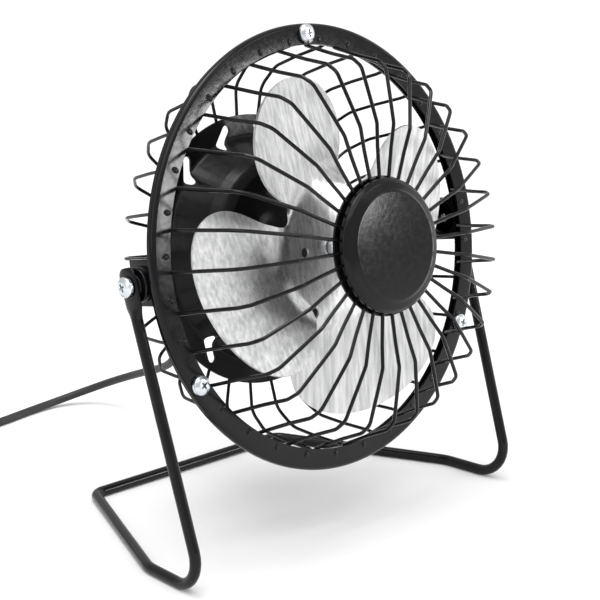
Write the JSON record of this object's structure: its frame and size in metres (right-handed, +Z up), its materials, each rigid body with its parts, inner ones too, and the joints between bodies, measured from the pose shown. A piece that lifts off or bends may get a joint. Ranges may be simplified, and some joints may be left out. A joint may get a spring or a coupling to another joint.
{
  "type": "desk fan",
  "caption": "Small metal desk fan with a tilting wire-guarded head, a pressed four-lobe wheel, a DC motor and a bent-rod stand, with a USB lead.",
  "frame": {"origin": "on the surface the stand rests on, below the middle of the fan's box without its cord", "axes": "+Z up, -Y towards the front that the air leaves by, +X to the right as seen from the front"},
  "size_m": [0.1776, 0.1926, 0.1604],
  "materials": {
    "black_enamel": "gloss black baked enamel",
    "aluminium": "satin, finely brushed",
    "zinc": "bright zinc plate",
    "steel": "drawn steel",
    "black_plastic": "fine moulded texture",
    "black_nylon": "black nylon",
    "laminations": "oiled electrical steel",
    "copper": "enamelled copper wire",
    "bronze": "sintered or sprung bronze",
    "ferrite": "fired ferrite",
    "cord_jacket": "soft PVC",
    "red_jacket": "soft PVC"
  },
  "bodies": {
    "stand": {"stand_rod": "black_enamel", "power_cord": "cord_jacket", "cord_tail": "cord_jacket", "cord_coil": "cord_jacket", "coil_tie": "black_plastic", "plug_grip": "black_plastic", "plug_shell": "zinc"},
    "head": {"left_pivot_knuckle": "black_enamel", "right_pivot_knuckle": "black_enamel", "left_friction_washer": "black_nylon", "right_friction_washer": "black_nylon", "left_pivot_screw": "zinc", "right_pivot_screw": "zinc", "front_guard": "black_enamel", "rear_guard": "black_enamel", "hub_cap": "black_enamel", "ring_screw_1": "zinc", "ring_screw_2": "zinc", "ring_screw_3": "zinc", "rear_plate": "black_enamel", "motor_can": "steel", "front_bush": "bronze", "rear_bush": "bronze", "left_magnet": "ferrite", "right_magnet": "ferrite", "motor_end_cap": "black_plastic", "left_brush": "bronze", "right_brush": "bronze", "motor_screw_1": "zinc", "motor_screw_2": "zinc", "rear_cover": "black_plastic", "switch_body": "black_plastic", "cord_gland": "black_plastic", "cover_screw_1": "zinc", "cover_screw_2": "zinc", "cover_screw_3": "zinc", "red_lead": "red_jacket", "black_lead": "cord_jacket"},
    "wheel": {"fan_wheel": "aluminium", "wheel_boss": "black_plastic", "cap_nut": "zinc", "motor_shaft": "steel", "armature_core": "laminations", "winding_1": "copper", "winding_2": "copper", "winding_3": "copper", "commutator": "copper"},
    "rocker": {"switch_rocker": "black_plastic"}
  },
  "joints": [
    {"name": "head_tilt", "type": "hinge", "parent": "stand", "child": "head", "pos_m": [0, -0.00946, 0.09], "axis": [-1, 0, 0], "range_deg": [-35, 45], "deforming": ["power_cord"]},
    {"name": "wheel_spin", "type": "hinge", "parent": "head", "child": "wheel", "pos_m": [0, -0.00946, 0.09], "axis": [0, -0.984, 0.1781], "continuous": true},
    {"name": "switch_rock", "type": "hinge", "parent": "head", "child": "rocker", "pos_m": [0, 0.03579, 0.08791], "axis": [1, 0, 0], "range_deg": [-18, 0]}
  ]
}
